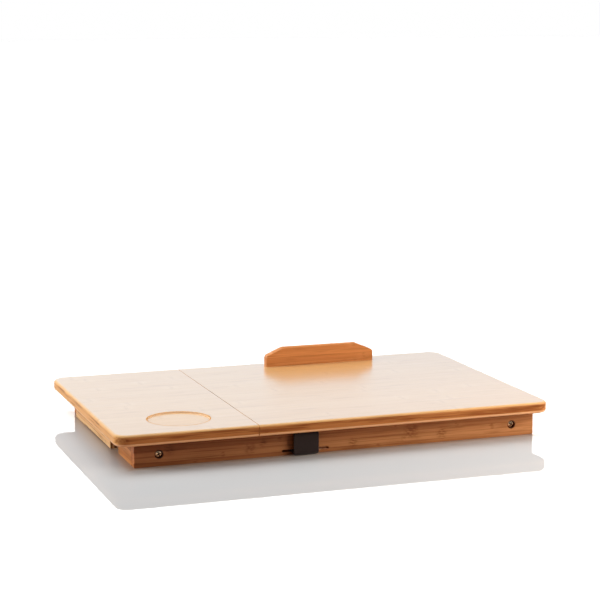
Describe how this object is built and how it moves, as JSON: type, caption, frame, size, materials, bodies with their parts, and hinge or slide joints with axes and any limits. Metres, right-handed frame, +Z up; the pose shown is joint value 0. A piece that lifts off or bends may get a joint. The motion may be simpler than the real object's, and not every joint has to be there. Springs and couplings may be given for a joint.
{
  "type": "folding laptop table",
  "caption": "Low bamboo lap table with a tilting top panel on a prop, a side drawer, a cup recess, a stopper ledge and folding U-shaped legs.",
  "frame": {"origin": "centre of the table top's outline, on the floor that the folded table lies on", "axes": "+X along the long side away from the drawer end, +Y from the rear edge to the user's edge, +Z up"},
  "size_m": [0.55, 0.35, 0.0686],
  "materials": {
    "bamboo": "clear gloss lacquer on strips",
    "fibreboard": "thin plain board",
    "webbing": "black woven tape",
    "bronze": "antique bronze plating",
    "steel": "zinc plated"
  },
  "bodies": {
    "frame": {"rear_rail": "bamboo", "front_rail": "bamboo", "right_end_rail": "bamboo", "centre_rail": "bamboo", "left_end_rail_rear": "bamboo", "left_end_rail_front": "bamboo", "fixed_panel": "bamboo", "seam_cleat": "bamboo", "cleat_screws": "steel", "ladder_board": "bamboo", "drawer_runner_rear": "bamboo", "drawer_runner_front": "bamboo", "strap": "webbing", "strap_plate": "steel", "strap_screws": "steel", "hinge_rail_leaf_left": "steel", "hinge_rail_leaf_right": "steel", "hinge_pin_left": "steel", "hinge_pin_right": "steel", "hinge_rail_screws": "steel", "left_leg_bolts": "bronze", "left_leg_washers": "steel", "left_leg_nuts": "steel", "right_leg_bolts": "bronze", "right_leg_washers": "steel", "right_leg_nuts": "steel"},
    "tilting_top": {"tilt_panel": "bamboo", "hinge_panel_leaf_left": "steel", "hinge_panel_leaf_right": "steel", "hinge_panel_screws": "steel", "strap_patch": "webbing", "prop_bracket_left": "steel", "prop_bracket_right": "steel", "prop_pins": "steel"},
    "prop": {"prop_arm_left": "steel", "prop_arm_right": "steel", "prop_tip_rod": "steel"},
    "drawer": {"drawer_front": "bamboo", "drawer_side_rear": "bamboo", "drawer_side_front": "bamboo", "drawer_back": "bamboo", "drawer_floor": "fibreboard"},
    "left_leg": {"left_leg_rear_post": "bamboo", "left_leg_front_post": "bamboo", "left_leg_foot_bar": "bamboo"},
    "right_leg": {"right_leg_rear_post": "bamboo", "right_leg_front_post": "bamboo", "right_leg_foot_bar": "bamboo"},
    "stopper": {"stopper_board": "bamboo", "stopper_pegs": "bamboo"}
  },
  "joints": [
    {"name": "top_tilt", "type": "hinge", "parent": "frame", "child": "tilting_top", "pos_m": [0.086, 0.1571, 0.03], "axis": [-1, 0, 0], "range_deg": [0, 35]},
    {"name": "prop_swing", "type": "hinge", "parent": "tilting_top", "child": "prop", "pos_m": [0.0909, 0.0471, 0.027], "axis": [1, 0, 0], "range_deg": [0, 70]},
    {"name": "drawer_slide", "type": "slide", "parent": "frame", "child": "drawer", "axis": [-1, 0, 0], "range_m": [0, 0.095]},
    {"name": "left_leg_fold", "type": "hinge", "parent": "frame", "child": "left_leg", "pos_m": [-0.22, 0, 0.0144], "axis": [0, 1, 0], "range_deg": [0, 100]},
    {"name": "right_leg_fold", "type": "hinge", "parent": "frame", "child": "right_leg", "pos_m": [0.2313, 0, 0.0144], "axis": [0, -1, 0], "range_deg": [0, 100]},
    {"name": "stopper_lift", "type": "slide", "parent": "tilting_top", "child": "stopper", "axis": [0, 0, 1], "range_m": [0, 0.03]}
  ],
  "couplings": [
    {"joint": "prop_swing", "follows": "top_tilt", "ratio": 2}
  ]
}
